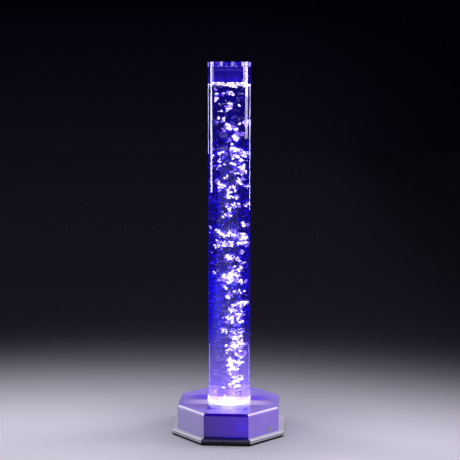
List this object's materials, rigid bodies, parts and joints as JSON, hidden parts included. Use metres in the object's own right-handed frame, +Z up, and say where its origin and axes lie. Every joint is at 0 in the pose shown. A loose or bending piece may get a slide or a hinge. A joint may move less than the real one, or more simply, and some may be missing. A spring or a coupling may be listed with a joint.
{
  "type": "portable bubble tube",
  "caption": "Free-standing lamp: a clear water tube with a vented cap stands in an eight-sided lit base whose air pump blows bubbles up through the water.",
  "frame": {"origin": "on the surface the feet stand on, under the tube's axis", "axes": "+Z up along the tube's axis; -Y is the front face, with the remote eye in the plate's edge; the colour button is on the corner face between +X and -Y"},
  "size_m": [0.265, 0.265, 0.8795],
  "materials": {
    "acrylic": "clear, polished",
    "seal_rubber": "smooth black rubber",
    "stone": "porous, sintered grains",
    "opal": "opal, lit from below",
    "violet_plastic": "high gloss",
    "grey_metal": "fine satin",
    "black_rubber": "matt",
    "steel": "bright zinc",
    "black_plastic": "fine grain",
    "board": "solder mask",
    "brass": "turned",
    "diode": "light diode package with a lens",
    "white_plastic": "moulded",
    "hose": "translucent silicone",
    "iron": "laminated sheet",
    "copper": "enamelled wire",
    "cell": "shrink sleeve",
    "chip": "moulded",
    "rocker_plastic": "polished",
    "button_plastic": "fine grain",
    "dark_glass_plastic": "dark infrared filter",
    "lead": "sheathed lead"
  },
  "bodies": {
    "base": {"tube": "acrylic", "tube_floor_plug": "acrylic", "plug_seals": "seal_rubber", "air_stone": "stone", "glow_collar": "opal", "base_housing": "violet_plastic", "base_plate": "grey_metal", "rubber_feet": "black_rubber", "plate_screws": "steel", "tube_socket": "black_plastic", "socket_screws": "steel", "light_board": "board", "light_spacers": "brass", "light_screws": "steel", "light_diodes": "diode", "air_elbow": "brass", "valve_body": "white_plastic", "valve_cover": "white_plastic", "stone_hose": "hose", "pump_hose": "hose", "pump_tray": "black_plastic", "pump_mounts": "black_rubber", "pump_core": "iron", "pump_coil": "copper", "pump_pin": "steel", "pump_head": "black_plastic", "pump_bellows": "black_rubber", "battery_holder": "black_plastic", "battery_cells": "cell", "battery_contacts": "steel", "board_pillars": "brass", "control_board": "board", "board_screws": "steel", "board_chips": "chip", "board_capacitors": "cell", "board_plugs": "white_plastic", "switch_body": "black_plastic", "power_inlet": "black_plastic", "inlet_nut": "steel", "button_switch": "chip", "button_bracket": "steel", "remote_eye": "dark_glass_plastic", "remote_receiver": "chip", "wiring_leads": "lead"},
    "cap": {"tube_cap": "acrylic", "cap_seal": "seal_rubber"},
    "power_rocker": {"power_rocker": "rocker_plastic"},
    "mode_button": {"colour_button": "button_plastic", "button_plunger": "black_plastic"},
    "pump_arm": {"pump_arm": "white_plastic", "pump_magnet": "iron"},
    "valve_ball": {"valve_ball": "black_rubber"}
  },
  "joints": [
    {"name": "cap_lift", "type": "slide", "parent": "base", "child": "cap", "axis": [0, 0, 1], "range_m": [0, 0.06]},
    {"name": "rocker_tilt", "type": "hinge", "parent": "base", "child": "power_rocker", "pos_m": [-0.018, 0.1195, 0.049], "axis": [-1, 0, 0], "range_deg": [0, 16]},
    {"name": "button_push", "type": "slide", "parent": "base", "child": "mode_button", "axis": [-0.7071, 0.7071, 0], "range_m": [0, 0.001], "stiffness_N_per_m": 300},
    {"name": "pump_swing", "type": "hinge", "parent": "base", "child": "pump_arm", "pos_m": [-0.07458, -0.0245, 0.0385], "axis": [0, 0, 1], "range_deg": [-2, 2], "stiffness_Nm_per_rad": 0.3},
    {"name": "ball_lift", "type": "slide", "parent": "base", "child": "valve_ball", "axis": [1, 0, 0], "range_m": [0, 0.0015]}
  ]
}
